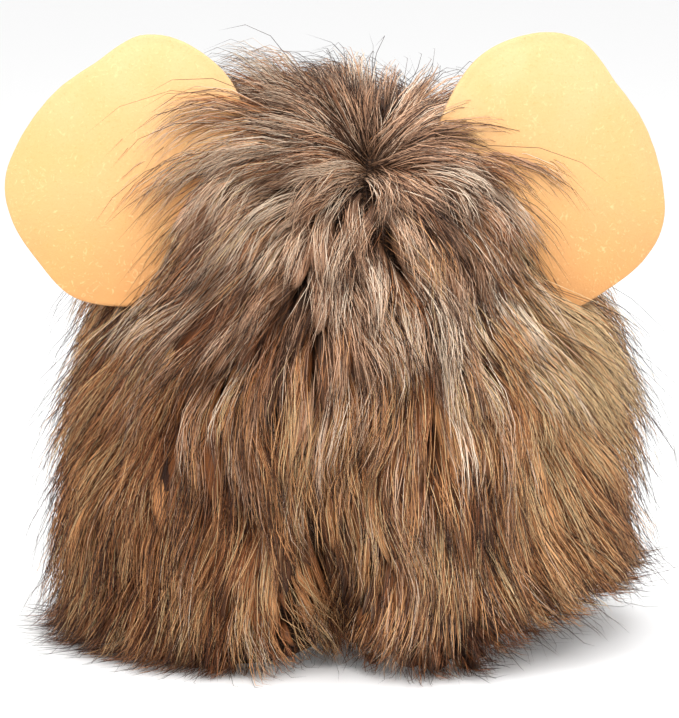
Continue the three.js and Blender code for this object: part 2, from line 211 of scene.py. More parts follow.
def fur_run(p):
    """The unit tangent along which the fur lies: away from the whorl, turning down with the distance and
    more so by the ears, into the hem's fold, away from the face opening's rim, and a little either way by
    waves."""
    x, y, z = p[..., 0], p[..., 1], p[..., 2]
    away = p - WHORL
    reach = np.linalg.norm(away, axis=-1)
    run = unit(away)
    run[..., 2] -= TURN_DOWN * smooth(reach, 0.03, 0.22)
    by_ears = smooth(np.abs(x), 0.02, 0.06) * smooth(z, 0.15, 0.20) * smooth(-y, 0.0, 0.035)
    run[..., 2] -= TURN_DOWN_BY_EARS * by_ears
    off = x - seam_x(z)
    low = 1 - smooth(z, 0, 1.1 * FOLD_HEIGHT)
    into = np.where(off < 0, TURN_FROM_LEFT, TURN_FROM_RIGHT) * bell(off + 0.010, 1.9 * FOLD_WIDTH) * low
    run[..., 0] += np.where(y < 0, into, 0)
    away_face = p - np.array([0, 0, FACE_Z])
    away_face[..., 1] = 0
    near = np.where(y > 0, 1 - smooth(face_edge(p), 1.0, 1.9), 0)
    run += unit(away_face) * (TURN_OFF_FACE * near)[..., None]
    n = outward(p)
    wave = np.sin(33 * x + 24 * z + 0.6) * np.sin(29 * y - 40 * z + 1.9)
    wave += 0.6 * np.sin(71 * x - 52 * z + 23 * y)
    run += np.cross(n, run) * (TURN_WAVES * wave * smooth(reach, 0.02, 0.09))[..., None]
    return unit(run - n * (run * n).sum(-1, keepdims=True))


def profile():
    """The hood's mean profile from the hem to the crown: the rise of its points and their distances along
    it."""
    rise = np.sin(np.linspace(0, 1, 600) * math.pi / 2) ** (2 / POWER)
    across = HALF.mean() * girth(rise)
    return rise, np.concatenate([[0], np.cumsum(np.hypot(np.diff(across), np.diff(HEIGHT * rise)))])


def clump_roots():
    """Staggered rows round the hood, evenly spaced along its profile, each root jittered, with a spiral tuft
    at the whorl and two rows round the face opening's rim."""
    rise, length = profile()
    rows = int(length[-1] / CLUMP_SPACING)
    rises = np.interp((np.arange(rows) + 0.35) / rows * length[-1], length, rise)
    counts = np.maximum(5, (2 * math.pi * HALF.mean() * girth(rises) / CLUMP_SPACING).astype(int))
    row = np.repeat(np.arange(rows), counts)
    place = np.arange(counts.sum()) - np.repeat(np.cumsum(counts) - counts, counts)
    jitter = rng.uniform(-CLUMP_JITTER, CLUMP_JITTER, (2, len(row)))
    angle = 2 * math.pi * (place + row % 2 / 2 + jitter[0]) / counts[row]
    step = np.gradient(rises)[row] * jitter[1]
    p = hood(angle, np.clip(rises[row] + step, 0.002, 0.9999))
    p = p[(face_edge(p) > 1.1) & (p[:, 2] > hem_z(p))]
    order = np.arange(TUFT)
    turn = TUFT_TURN * order
    tuft = np.stack([np.cos(turn), 0 * turn, np.sin(turn)], -1)
    tuft = tuft * (TUFT_RADIUS * np.sqrt((order + 0.05) / TUFT))[:, None]
    turn = 2 * math.pi * (np.arange(2 * RIM_ROOTS) + rng.uniform(-0.3, 0.3, 2 * RIM_ROOTS)) / RIM_ROOTS
    share = np.repeat(RIM_ROWS, RIM_ROOTS)
    x = FACE_HALF[0] * share * np.sin(turn)
    z = FACE_Z + FACE_HALF[1] * share * np.cos(turn)
    y = HALF[1] * np.sqrt(np.maximum(0, 1 - (x / HALF[0]) ** 2 - (z / HEIGHT) ** POWER))
    rim = np.stack([x, y, z], -1)[np.abs(x) > CHIN_SLIT / 2]
    return np.concatenate([p, onto_hood(WHORL + tuft), rim])


def paths(p, length, steps):
    """Spines on the hood: equal steps of length / steps along the run of the fur, each brought back onto the
    hood. Past the hem a spine goes on straight, down and outwards."""
    spine, runs = [p], [fur_run(p)]
    for _ in range(steps):
        q = spine[-1]
        run = runs[-1]
        nxt = q + run * (length / steps)[:, None]
        inside = nxt[:, 2] > 0
        nxt = np.where(inside[:, None], onto_hood(np.where(inside[:, None], nxt, q)), nxt)
        spine.append(nxt)
        runs.append(np.where(inside[:, None], fur_run(nxt), run))
    return np.stack(spine, 1), np.stack(runs, 1)


FINE = 8  # steps of a clump's path


def pile_height(root):
    """The pile's height over the backing at each root: PILE, raised by lobes on the crown, and times 1 plus
    an amount in each zone where the pile is deeper or thinner."""
    x, y, z = root.T
    off = x - seam_x(z)
    back = smooth(-y, 0.0, 0.03)
    ridge = smooth(y, -0.085, -0.045) * (1 - smooth(y, -0.02, 0.01))
    lobes = ridge * (0.022 * bell(off + 0.060, 0.030) + 0.026 * bell(off - 0.037, 0.026))
    lobes += 0.008 * bell(np.abs(off) - 0.036, 0.026)
    pile = PILE * (1 - 0.12 * smooth(z, 0.17, 0.255)) + lobes * smooth(z, 0.2, 0.25)
    zones = (
        (-0.62, smooth(np.abs(x), 0.025, 0.065) * smooth(z, 0.18, 0.225) * back),  # beside the ears
        (0.25, smooth(x, 0.07, 0.1) * bell(z - 0.165, 0.025)),  # the right flank under the ear
        (-0.7, bell(off - 0.004, 0.012) * (1 - smooth(z, 0.06, 0.13)) * back),  # in the hem's fold
        (-0.45, bell(np.linalg.norm(root - WHORL, axis=1), 0.03)),  # at the whorl
        (-0.4, 1 - smooth(face_edge(root), 1.0, 1.5)),  # round the face opening
    )
    for amount, zone in zones:
        pile *= 1 + amount * zone
    return pile


def clumps():
    """The clumps of the pile as arrays: path, run, outward and sideways directions, slow sideways wave,
    height, the part of the path that is used, tone, shares of grey and red hairs, and 1 at the whorl to 0
    far from it."""
    roots = clump_roots()
    count = len(roots)
    whorl_gap = np.linalg.norm(roots - WHORL, axis=1)
    length = FUR_LENGTH * rng.uniform(0.82, 1.18, count) * (0.62 + 0.38 * smooth(whorl_gap, 0.02, 0.13))
    spine, runs = paths(roots, length, FINE)
    normals = outward(spine)
    v = np.linspace(0, 1, FINE + 1)[None]
    phase = rng.uniform(0, 2 * math.pi, (2, count, 1))[0]
    wave = CLUMP_WAVE * np.sin(v * rng.uniform(2.0, 4.5, (count, 1)) + phase)
    wave -= wave[:, :1]
    # neighbouring clumps gather into locks: they swing sideways together and stand higher or lower together
    x, y, z = roots.T
    turn = np.arctan2(x, -y)
    swing = np.sin(13.0 * turn + 21.0 * z + 0.8) + 0.7 * np.sin(27.0 * turn - 34.0 * z + 2.1)
    wave += CLUMP_SWING * swing[:, None] * v**1.3
    stand = np.sin(11.0 * turn + 58.0 * z + 1.1) * np.sin(17.0 * turn - 41.0 * z)
    rise = rng.uniform(0.76, 1.06, count) * (1 + 0.18 * stand)
    # the hem's clumps are cut to end a little below the hem's edge
    low, tip = z - hem_z(roots), spine[:, -1, 2] - hem_z(spine[:, -1])
    room = (low + rng.uniform(0.0, 0.008, count)) / np.maximum(1e-4, low - tip)
    reach = np.where(tip < 0.003, np.clip(room, 0.16, 1), 1)
    tone, grey, red = tones(roots)
    return {"spine": spine, "runs": runs, "normals": normals, "sides": unit(np.cross(runs, normals)),
            "wave": wave, "height": pile_height(roots) * rise, "reach": reach, "tone": tone, "grey": grey,
            "red": red, "open": 1 - smooth(whorl_gap, 0.04, 0.15)}


def along(c, pick, at):
    """The clumps' path, run, outward and sideways directions and wave at places from 0 to 1, or up to 25%
    past the end, between two steps of the path by their shares."""
    s = np.clip(at, 0, 1.25) * FINE
    low = np.clip(s.astype(int), 0, FINE - 1)
    part = s - low
    pick = pick[:, None]

    def between(values):
        share = part[..., None] if values.ndim == 3 else part
        return values[pick, low] * (1 - share) + values[pick, low + 1] * share

    return (between(c["spine"]), unit(between(c["runs"])), unit(between(c["normals"])),
            unit(between(c["sides"])), between(c["wave"]))


def off_backing(base, n, height, droop):
    """Points at a height over the drawn-in backing. What reaches the floor, or hangs lower than droop below
    a lifted hem, is turned outwards and spreads there. The way past PROUD is shortened to GIVE at most."""
    points = base + n * (height - drawn_in(base))[..., None]
    floor = np.maximum(0.0007 + 0.2 * droop, hem_z(points) - droop)
    under = np.maximum(0, floor - points[..., 2])
    flat = unit(np.concatenate([n[..., :2], np.zeros_like(n[..., :1])], -1))
    points = points + flat * (0.5 * under)[..., None]
    points[..., 2] = np.maximum(points[..., 2], floor)
    past = np.abs(points[..., :2]) - PROUD
    excess = np.where(past > 0, past - GIVE * (1 - np.exp(-past / GIVE)), 0)
    points[..., :2] -= np.sign(points[..., :2]) * excess
    return points


def locks(c):
    """One wide flat lock under the hairs of each clump, but none at the whorl or the face opening's rim:
    spine, outward direction, width and a tint made darker as painted shade under the hairs. It rises as
    height (1 - (1 - v)^p), and stands further off the backing and is narrower where that is drawn in."""
    root = c["spine"][:, 0]
    whorl_gap = np.linalg.norm(root - WHORL, axis=1)
    pick = np.flatnonzero((face_edge(root) > LOCK_FACE_EDGE) & (whorl_gap > LOCK_WHORL_GAP))
    count = len(pick)
    at = np.array([0, 0.18, 0.38, 0.58, 0.76, 0.9, 1.0])
    reach = c["reach"][pick] * np.where(c["reach"][pick] < 1, 0.5, 0.94)
    base, _, n, side, wave = along(c, pick, at[None] * reach[:, None])
    base = base + side * wave[..., None]
    sunk = np.clip(drawn_in(base) / SUNK, 0, 1)
    tall = (LOCK_TALL - (LOCK_TALL - LOCK_TALL_AT_WHORL) * c["open"][pick]) * c["height"][pick]
    height = LOCK_LIFT + LOCK_LIFT_SUNK * sunk + tall[:, None] * (1 - (1 - at) ** RISE_POWER)
    points = off_backing(base, n, height, np.full((count, 1), 0.004))
    width = LOCK_WIDTH * rng.uniform(0.85, 1.2, count) * (1 - 0.65 * sunk.max(1))
    return points, n, width, c["tone"][pick] - LOCK_PAINTED_SHADE, families(c, pick, rng.uniform(0.3, 0.7, count))


def hairs(c):
    """All hairs as spines of STATIONS points with radii and tints. A hair starts beside its clump's root and
    closes on the clump's spine towards the tip, while it rises off the backing as height (1 - (1 - v)^p).
    Guard hairs are thin, long, dark and straggling, and free hairs hardly close on their clump."""
    want = np.where(c["spine"][:, 0, 1] < 0.02, 1.0, FRONT_DENSITY) * (1 + WHORL_DENSITY * c["open"])
    want *= np.where(face_edge(c["spine"][:, 0]) < 1.2, RIM_DENSITY, 1)
    per = rng.choice(len(want), STRANDS, p=want / want.sum())
    guard = rng.random(STRANDS) < GUARD_SHARE
    free = rng.random(STRANDS) < FREE_SHARE
    v = np.linspace(0, 1, STATIONS)[None] ** 0.92
    stretch = rng.uniform(0.78, 1.05, STRANDS) * np.where(guard, GUARD_STRETCH, 1) * c["reach"][per]
    base, run, n, side, wave = along(c, per, v * stretch[:, None])
    # the place beside the clump's spine, across it and along it
    spread = rng.normal(0, 1, (2, STRANDS))
    spread *= 0.66 * CLUMP_SPACING * np.sqrt(rng.random(STRANDS)) / np.maximum(1e-9, np.hypot(*spread))
    close = 1 - (rng.uniform(0.35, 0.92, STRANDS) * np.where(free, 0.1, 1))[:, None] * v**0.75
    spread *= np.where(free, 1.4, 1)
    close = np.where(guard[:, None], 1 + 0.5 * v, close)
    loose = np.where(guard, GUARD_DRIFT, np.where(free, FREE_DRIFT, DRIFT))[:, None] * v**1.4
    drift = rng.normal(0, 1, (2, STRANDS))[..., None] * loose[None]
    curl = v * rng.uniform(3, 8, STRANDS)[:, None] + rng.uniform(0, 6.28, STRANDS)[:, None]
    curl = CURL * np.sin(curl)
    across = spread[0][:, None] * close + wave + drift[0] + curl - curl[:, :1]
    base = base + side * across[..., None] + run * (spread[1][:, None] * close)[..., None]
    # the height off the backing
    tall = c["height"][per] * rng.uniform(0.66, 1.06, STRANDS) * np.where(guard, GUARD_TALL, 1)
    height = HAIR_LIFT + tall[:, None] * (1 - (1 - np.minimum(v, 1)) ** RISE_POWER) + drift[1] * 0.7
    droop = rng.uniform(0.002, 0.012, STRANDS) * np.where(guard, GUARD_DROOP, 1)
    points = off_backing(base, n, np.maximum(height, HAIR_LIFT), droop[:, None])
    root = base[:, 0]
    slit = (root[:, 1] > 0) & (np.abs(root[:, 0]) < CHIN_SLIT / 2) & (root[:, 2] < FACE_Z)
    keep = (face_edge(root) > 0.99) & ~slit & (root[:, 2] > 0.0006)
    # the radius, and the tint
    width = rng.uniform(0.7, 1.25, STRANDS) * np.where(guard, GUARD_RADIUS, HAIR_RADIUS)
    tone = c["tone"][per] + rng.normal(0, 0.11, STRANDS)
    tone = np.where(rng.random(STRANDS) < PALE_SHARE, tone + PALE_STEP, tone)
    tone = np.where(rng.random(STRANDS) < DARK_SHARE, tone - DARK_STEP, tone)
    tone = np.where(guard, rng.uniform(0.0, 0.12, STRANDS), tone)
    chance = 0.55 * rng.random(len(want))[per] + 0.45 * rng.random(STRANDS)
    family = np.where(guard, FAMILIES.index(RUST), families(c, per, chance))
    return points[keep], width[keep], tone[keep], family[keep]


# Tints by family, darkest first: the fur's colour at the root, the middle and the tip, as display values
ASH = [
    {"root": (38, 25, 17), "middle": (82, 56, 40), "tip": (24, 15, 11)},
    {"root": (82, 56, 39), "middle": (143, 104, 77), "tip": (50, 34, 24)},
    {"root": (117, 84, 61), "middle": (200, 152, 119), "tip": (104, 76, 56)},
    {"root": (148, 110, 84), "middle": (246, 200, 164), "tip": (174, 139, 111)},
    {"root": (177, 139, 110), "middle": (255, 233, 207), "tip": (236, 205, 178)},
]
GOLD = [
    {"root": (40, 20, 9), "middle": (84, 48, 24), "tip": (24, 12, 6)},
    {"root": (88, 48, 22), "middle": (149, 92, 51), "tip": (47, 26, 13)},
    {"root": (128, 75, 37), "middle": (206, 142, 90), "tip": (86, 53, 30)},
    {"root": (160, 102, 56), "middle": (248, 186, 128), "tip": (150, 104, 65)},
    {"root": (186, 132, 83), "middle": (255, 222, 170), "tip": (210, 165, 120)},
]
RUST = [
    {"root": (24, 11, 5), "middle": (44, 22, 11), "tip": (13, 7, 5)},
    {"root": (48, 23, 11), "middle": (97, 53, 28), "tip": (26, 14, 8)},
    {"root": (86, 44, 20), "middle": (150, 91, 54), "tip": (41, 22, 13)},
    {"root": (120, 67, 33), "middle": (198, 130, 84), "tip": (64, 38, 22)},
    {"root": (150, 93, 52), "middle": (240, 177, 125), "tip": (98, 61, 38)},
]
FAMILIES = (ASH, GOLD, RUST)
TONES = 20  # columns of each family on the fur's map


def tones(root):
    """Each clump's tone between the darkest tint, 0, and the lightest, 1, with its shares of grey and of red
    hairs. The tone is a base, plus an amount times each zone, and noise. Grey hairs gather over the crown,
    and red ones at the hem and in the dark patches."""
    x, y, z = root.T
    off = x - seam_x(z)
    turn = np.arctan2(x, -y)
    back = smooth(-y, -0.03, 0.03)
    patch = np.sin(52 * x + 31 * z + 1.0) * np.sin(43 * z - 47 * y + 2.0)
    streak = np.sin(9.0 * turn + 17 * z + 0.4) * np.sin(62 * z + 3.0 * turn)
    zones = (
        (0.10, smooth(z, 0.17, 0.25)),  # the crown
        (-0.20, 1 - smooth(z, 0.0, 0.05)),  # the hem
        (0.26, smooth(x, 0.02, 0.08) * smooth(z, 0.07, 0.16)),  # the upper right side
        (0.17, smooth(-x, 0.04, 0.08) * smooth(z, 0.12, 0.17)),  # the upper left side
        (-0.06, smooth(x, 0.02, 0.06) * (1 - smooth(z, 0.08, 0.14))),  # the lower right side
        (-0.12, bell(x, 0.045) * (1 - smooth(z, 0.1, 0.17))),  # the lower middle
        (0.20, bell(x + 0.046, 0.036) * smooth(z, 0.2, 0.24)),  # the crown left of the whorl
        (0.12, bell(x - 0.091, 0.03) * bell(z - 0.16, 0.03)),  # the right flank under the ear
        (-0.07, bell(x - 0.014, 0.03) * bell(z - 0.2, 0.03)),  # below the whorl
        (-0.05, smooth(-x, 0.06, 0.11) * (1 - smooth(z, 0.14, 0.22))),  # the left flank
        (-0.36, bell(off - 0.005, 0.012) * (1 - smooth(z, 0.03, 0.12)) * back),  # painted shade in the hem's fold
        (0.20, bell(off + 0.022, 0.016) * bell(z - 0.055, 0.035) * back),  # the bank left of the fold
        (-0.10, bell(np.linalg.norm(root - WHORL, axis=1), 0.022)),  # at the whorl
        (0.16, patch),
        (0.10, streak),
    )
    tone = 0.68 + sum(amount * zone for amount, zone in zones) + rng.normal(0, 0.19, len(root))
    grey = 0.30 + 0.55 * smooth(z, 0.13, 0.22) * bell(x, 0.075) - 0.25 * smooth(np.abs(x), 0.06, 0.1)
    red = 0.16 + 0.50 * (1 - smooth(z, 0.01, 0.06)) + 0.22 * smooth(-patch, 0.1, 0.7)
    return tone, grey, red


def families(c, pick, chance):
    """The family's number in FAMILIES: the first where chance is below the clump's share of grey, the last
    where it is above 1 less its share of red, and else the middle one."""
    return np.where(chance < c["grey"][pick], 0, np.where(chance > 1 - c["red"][pick], 2, 1))


def tube_piece(name, rings, tip, column, corner_u):
    """Many closed tapering tubes in one mesh. Ring k of a tube joins ring k + 1 by a quad for each corner,
    the last ring closes on the tip and a fan closes the first. The map has the tint's column across, where
    corner_u gives each corner's place in it, and the place along the tube upwards."""
    count, size, corners = rings.shape[:3]
    at = 0.02 + 0.96 * np.linspace(0, 1, size + 1)
    verts = np.concatenate([rings.reshape(count, -1, 3), tip[:, None]], 1)
    verts[..., 2] = np.maximum(verts[..., 2], 0.0002)
    k, j = (a.ravel() for a in np.meshgrid(np.arange(size - 1), np.arange(corners), indexing="ij"))
    nj = (j + 1) % corners
    quad = np.stack([corners * k + j, corners * (k + 1) + j, corners * (k + 1) + nj, corners * k + nj], -1)
    j1, last = np.arange(corners), corners * (size - 1)
    ends = np.stack([last + (j1 + 1) % corners, last + j1, np.full(corners, last + corners)], -1)
    fan = np.arange(1, corners - 1)
    tri = np.concatenate([ends, np.stack([0 * fan, fan, fan + 1], -1)])
    start = (np.arange(count) * verts.shape[1])[:, None, None]
    u = (column[:, None] + corner_u[None]) / (TONES * len(FAMILIES))
    quad_u = np.stack([u[:, j], u[:, j], u[:, j + 1], u[:, j + 1]], -1)
    quad_v = np.broadcast_to(np.stack([at[k], at[k + 1], at[k + 1], at[k]], -1)[None], quad_u.shape)
    end_u = np.stack([u[:, j1 + 1], u[:, j1], (u[:, j1] + u[:, j1 + 1]) / 2], -1)
    fan_u = np.stack([u[:, 0 * fan], u[:, fan], u[:, fan + 1]], -1)
    tri_u = np.concatenate([end_u, fan_u], 1)
    end_v = np.tile([at[-2], at[-2], at[-1]], (corners, 1))
    fan_v = np.tile([0.004, 0.004, 0.02], (len(fan), 1))
    tri_v = np.broadcast_to(np.concatenate([end_v, fan_v])[None], tri_u.shape)
    return mesh_piece(name, verts.reshape(-1, 3), (start + quad[None]).reshape(-1, 4),
                      (start + tri[None]).reshape(-1, 3), np.stack([quad_u, quad_v], -1),
                      np.stack([tri_u, tri_v], -1))


def columns(tone, family):
    """The number of the map's column for a tone and a family."""
    return family * TONES + np.floor(np.clip(tone, 0, 0.999) * TONES)


def hair_piece(name, points, width, tone, family):
    """Three-sided hairs: corner j of a ring is the spine's point moved by the radius in direction
    (cos 120j side + sin 120j up), with up about away from the hood's middle, and the radius follows the
    taper."""
    tangent = unit(np.gradient(points, axis=1))
    up = unit(points - np.array([0, 0, 0.09]))
    side = unit(np.cross(tangent, up))
    up = np.cross(side, tangent)
    taper = np.array([0.8, 1.0, 0.95, 0.7])
    turn = 2 * math.pi * np.arange(3)[None, None, :, None] / 3
    ring = side[:, :-1, None] * np.cos(turn) + up[:, :-1, None] * np.sin(turn)
    rings = points[:, :-1, None] + ring * (width[:, None] * taper[None])[..., None, None]
    return tube_piece(name, rings, points[:, -1], columns(tone, family), 0.4 + 0.2 * np.arange(4) / 3)


def lock_piece(name, points, n, width, tone, family):
    """Flat locks: a ring has four corners along a low arch and one below its middle, and the lock's width
    swells from its root and runs out to a point."""
    tangent = unit(np.gradient(points, axis=1))
    side = unit(np.cross(tangent, n))
    up = np.cross(side, tangent)
    arch = np.array([(1.0, 0.0), (0.45, 0.26), (-0.45, 0.26), (-1.0, 0.0), (0.0, -0.2)])
    corner_u = np.array([0.04, 0.29, 0.71, 0.96, 0.5, 0.04])
    swell = np.array([0.25, 0.85, 1.05, 0.95, 0.7, 0.4])
    wide = (width[:, None] * swell[None])[..., None, None]
    ring = side[:, :-1, None] * arch[:, :1] + up[:, :-1, None] * arch[:, 1:]
    rings = points[:, :-1, None] + ring * wide
    return tube_piece(name, rings, points[:, -1], columns(tone, family), corner_u)


def unrolled(flat):
    """The hood's point for a point of the unit disc whose middle is the crown and whose edge is the hem."""
    rise, length = profile()
    share = 1 - length / length[-1]
    r = np.linalg.norm(flat, axis=-1)
    return hood(np.arctan2(flat[..., 0], -flat[..., 1]), np.interp(r, share[::-1], rise[::-1]))


def halved(low, high, holds):
    """The two sides of the place between low and high up to which holds(place) is true, by halving 30
    times."""
    for _ in range(30):
        half = (low + high) / 2
        true = holds(half)
        low, high = np.where(true, half, low), np.where(true, high, half)
    return low, high


def backing():
    """P(s, t) = O + (inner(t) + s (outer(t) - inner(t))) d(t) on the unrolled disc, with O inside the face
    opening, d(t) the direction t round it, inner the opening's rim and outer the hem. The shell runs out
    along its outer face and back along its inner one, and is cut through at the chin slit."""
    rows, count = 40, 110
    middle = np.array([0.0, 0.62])
    slit = 0.012
    turn = slit / 2 + (2 * math.pi - slit) * np.linspace(0, 1, count)
    way = np.stack([np.sin(turn), np.cos(turn)], -1)
    over = way @ middle
    edge = -over + np.sqrt(over**2 + 1 - middle @ middle)

    def place(reach):
        return unrolled(middle + way * reach[..., None])

    inner = halved(np.zeros(count), edge, lambda reach: face_edge(place(reach)) < 1)[1]
    hem = halved(0.5 * edge, edge, lambda reach: place(reach)[:, 2] > hem_z(place(reach)))[0]
    outer = np.where(hem > 0.999 * edge, edge, hem)
    p = place(inner[None] + np.linspace(0, 1, rows)[:, None] * (outer - inner)[None])
    n = outward(p)
    drop = drawn_in(p)
    top = p + n * (BACKING_OUTER - drop)[..., None]
    under = p + n * (BACKING_INNER - drop)[..., None]
    loop = np.concatenate([top, under[::-1]], 0)
    size = len(loop)
    i, j = np.meshgrid(np.arange(size), np.arange(count - 1), indexing="ij")
    here, after = i * count + j, (i + 1) % size * count + j
    sheet = np.stack([here, after, after + 1, here + 1], -1).reshape(-1, 4)
    a = np.arange(rows - 1)
    b = size - 1 - a
    first = np.stack([a, b, b - 1, a + 1], -1) * count
    final = np.stack([a, a + 1, b - 1, b], -1) * count + count - 1
    quads = np.concatenate([sheet, first, final])[:, ::-1]
    return mesh_piece("cloth_backing", loop.reshape(-1, 3), quads, NO_TRIS)


EAR = {"reach": 0.097, "half": 0.068, "thick": 0.011, "rim": 0.0026, "bow": 0.007, "back": 0.028, "tilt": 15,
       "groove": 0.0007, "groove_in": 0.0042, "groove_width": 0.0011, "pucker": 0.0003, "pucker_width": 0.007,
       "unevenness": 0.0009, "seam": 0.00015, "root": 0.004}
EAR_SIDES = {
    "left": {"sign": -1, "across": 0.0755, "height": 0.235, "roll": 0, "yaw": 4, "scale": 1.0},
    "right": {"sign": 1, "across": 0.071, "height": 0.245, "roll": -18, "yaw": 12, "scale": 1.01},
}
# across from the root, and up from its middle, as shares of the reach and the half height
EAR_OUTLINE = np.array([
    (0.02, 1.0), (0.28, 1.08), (0.52, 0.88), (0.73, 0.67), (0.9, 0.36), (0.99, 0.03), (0.95, -0.28),
    (0.82, -0.57), (0.63, -0.85), (0.35, -0.93), (0.03, -0.87), (-0.24, -0.55), (-0.3, 0.05), (-0.22, 0.66)])
EAR_MIDDLE = np.array([0.40, 0.06])


def ear_matrix(which):
    """Place = move * tilt * mirror and scale * yaw * roll, as 4 by 4 arrays."""
    e = EAR_SIDES[which]

    def turned(axis, degrees):
        a = math.radians(degrees)
        m = np.eye(4)
        i, j = {"x": (1, 2), "y": (2, 0), "z": (0, 1)}[axis]
        m[i, i] = m[j, j] = math.cos(a)
        m[i, j], m[j, i] = -math.sin(a), math.sin(a)
        return m

    move = np.eye(4)
    move[:3, 3] = e["sign"] * e["across"], -EAR["back"], e["height"]
    size = np.diag([e["sign"] * e["scale"], e["scale"], e["scale"], 1])
    return move @ turned("x", -EAR["tilt"]) @ size @ turned("z", e["yaw"]) @ turned("y", -e["roll"])


def closed_curve(points, count):
    """Points evenly spaced along a closed Catmull-Rom curve through the given ones."""
    p0, p1, p2, p3 = (np.roll(points, k, axis=0)[:, None] for k in (1, 0, -1, -2))
    u = np.linspace(0, 1, 40, endpoint=False)[None, :, None]
    curve = 0.5 * (2 * p1 + (p2 - p0) * u + (2 * p0 - 5 * p1 + 4 * p2 - p3) * u**2
                   + (3 * p1 - p0 - 3 * p2 + p3) * u**3)
    curve = curve.reshape(-1, points.shape[1])
    loop = np.concatenate([curve, curve[:1]])
    length = np.concatenate([[0], np.cumsum(np.linalg.norm(np.diff(loop, axis=0), axis=1))])
    want = np.linspace(0, length[-1], count, endpoint=False)
    return np.stack([np.interp(want, length, loop[:, k]) for k in range(points.shape[1])], -1)


def turned_out(points, quads, tris):
    """The faces, all reversed where the volume that they enclose, the sum of a . (b x c), is negative."""
    a, b, c = points[np.concatenate([tris, quads[:, :3], quads[:, [0, 2, 3]]])].transpose(1, 0, 2)
    if (a * np.cross(b, c)).sum() < 0:
        return quads[:, ::-1], tris[:, ::-1]
    return quads, tris


def ear_piece(which, face, side):
    """Half an ear. Along a ray from its middle, share w runs from 0 to 1 at the rim, or where the ray enters
    the pile's root. The face's height over the seam plane is rim + (full - rim) sqrt(1 - w^3), with a
    shallow groove where the seam allowance ends, shallow puckers along the rim and a slow unevenness of the
    pad."""
    matrix = ear_matrix(which)
    count, rows = 108, 20
    size = np.array([EAR["reach"], EAR["half"]])
    rim = closed_curve(EAR_OUTLINE * size, count)
    middle = EAR_MIDDLE * size

    def put(flat, y):
        bow = EAR["bow"] * np.maximum(0, flat[..., 0] / EAR["reach"]) ** 2
        local = np.stack([flat[..., 0], bow + side * y, flat[..., 1], np.ones_like(y)], -1)
        return (local @ matrix.T)[..., :3]

    def clear(share):
        p = put(middle + (rim - middle) * share[:, None], np.zeros(count))
        past = (p[:, 0] / HALF[0]) ** 2 + (p[:, 1] / HALF[1]) ** 2 + (p[:, 2] / HEIGHT) ** POWER
        return (past - 1) / np.linalg.norm(gradient(p), axis=1) > EAR["root"]

    edge = middle + (rim - middle) * halved(np.zeros(count), np.ones(count), clear)[0][:, None]
    w = np.sin(np.linspace(0, 1, rows) * math.pi / 2)[1:, None]
    flat = middle + (edge - middle)[None] * w[..., None]
    gap = np.linalg.norm(edge - middle, axis=1)[None] * (1 - w)
    turn = np.arange(count)[None] / count * 2 * math.pi
    full, thin = EAR["thick"] / 2, EAR["rim"] / 2
    height = thin + (full - thin) * np.sqrt(np.maximum(0, 1 - w**3))
    height = height - EAR["groove"] * bell(gap - EAR["groove_in"], EAR["groove_width"])
    height += EAR["pucker"] * np.sin(31 * turn + 2 * np.sin(5 * turn)) * bell(gap, EAR["pucker_width"])
    uneven = np.sin(70 * flat[..., 0] + 1.3) * np.sin(58 * flat[..., 1] + side)
    height += EAR["unevenness"] * (1 - w**2) * uneven
    start = put(edge[None], np.full((1, count), EAR["seam"]))
    rings = np.concatenate([start, put(flat, height)[::-1]], 0)
    top = put(middle[None], np.array([full]))
    base = put(middle[None], np.array([EAR["seam"]]))
    total = len(rings)
    i, j = np.meshgrid(np.arange(total - 1), np.arange(count), indexing="ij")
    here, beside = i * count + j, i * count + (j + 1) % count
    quads = np.stack([here, beside, beside + count, here + count], -1).reshape(-1, 4)
    j = np.arange(count)
    nj = (j + 1) % count
    last = (total - 1) * count
    fan = np.stack([last + j, last + nj, np.full(count, total * count)], -1)
    foot = np.stack([nj, j, np.full(count, total * count + 1)], -1)
    points = np.concatenate([rings.reshape(-1, 3), top, base])
    quads, tris = turned_out(points, quads, np.concatenate([fan, foot]))
    return mesh_piece(f"felt_ear_{which}_{face}", points, quads, tris)


def display(colour):
    """A display colour, 0 to 255, as linear values for a shader."""
    c = np.array(colour) / 255
    return (*np.where(c <= 0.04045, c / 12.92, ((c + 0.055) / 1.055) ** 2.4).tolist(), 1.0)


